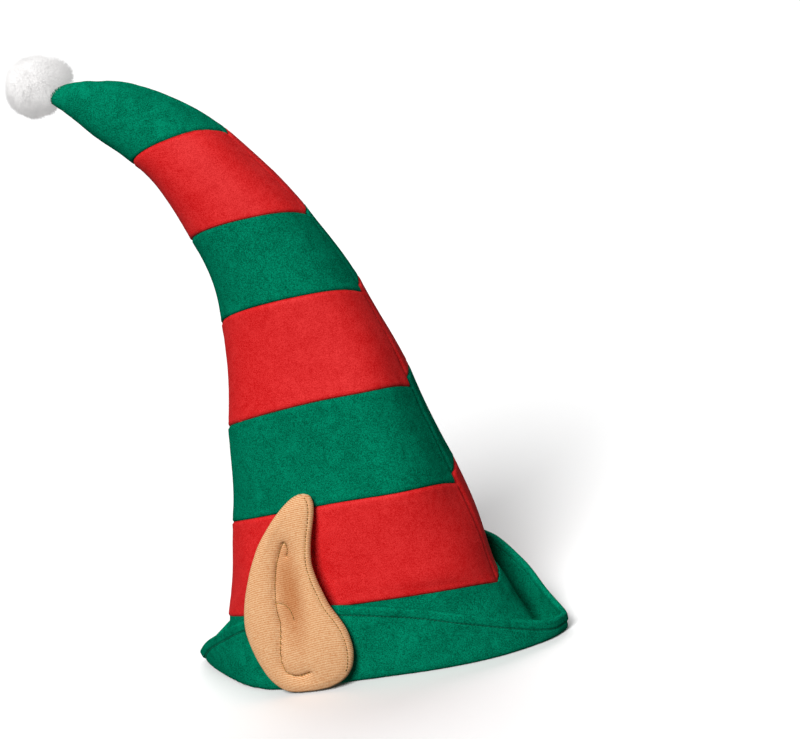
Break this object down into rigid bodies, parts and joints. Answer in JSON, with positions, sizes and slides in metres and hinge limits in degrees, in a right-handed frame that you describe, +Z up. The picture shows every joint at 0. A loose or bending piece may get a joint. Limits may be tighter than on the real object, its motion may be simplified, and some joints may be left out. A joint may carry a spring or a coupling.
{
  "type": "elf hat",
  "caption": "Tall striped felt elf hat with a leaning peak, a turned-up felt brim, padded fabric ears and a fur pompom on its tip.",
  "frame": {"origin": "middle of the whole hat's box, on the surface that the brim rests on", "axes": "+Z up; -X towards the side that the peak and pompom fall to; -Y towards the ear that the picture shows"},
  "size_m": [0.3452, 0.1716, 0.4893],
  "materials": {
    "red_felt": "matte felt",
    "green_felt": "matte felt",
    "ear_knit": "fine ribbed knit",
    "white_fur": "soft fur",
    "brown_thread": "twisted thread"
  },
  "bodies": {
    "root": {"brim": "green_felt", "stripe_1_red_near": "red_felt", "stripe_2_green_near": "green_felt", "stripe_3_red_near": "red_felt", "stripe_4_green_near": "green_felt", "stripe_5_red_near": "red_felt", "stripe_6_green_peak_near": "green_felt", "stripe_1_red_far": "red_felt", "stripe_2_green_far": "green_felt", "stripe_3_red_far": "red_felt", "stripe_4_green_far": "green_felt", "stripe_5_red_far": "red_felt", "stripe_6_green_peak_far": "green_felt", "pompom": "white_fur", "ear_near": "ear_knit", "ear_far": "ear_knit"}
  },
  "joints": []
}
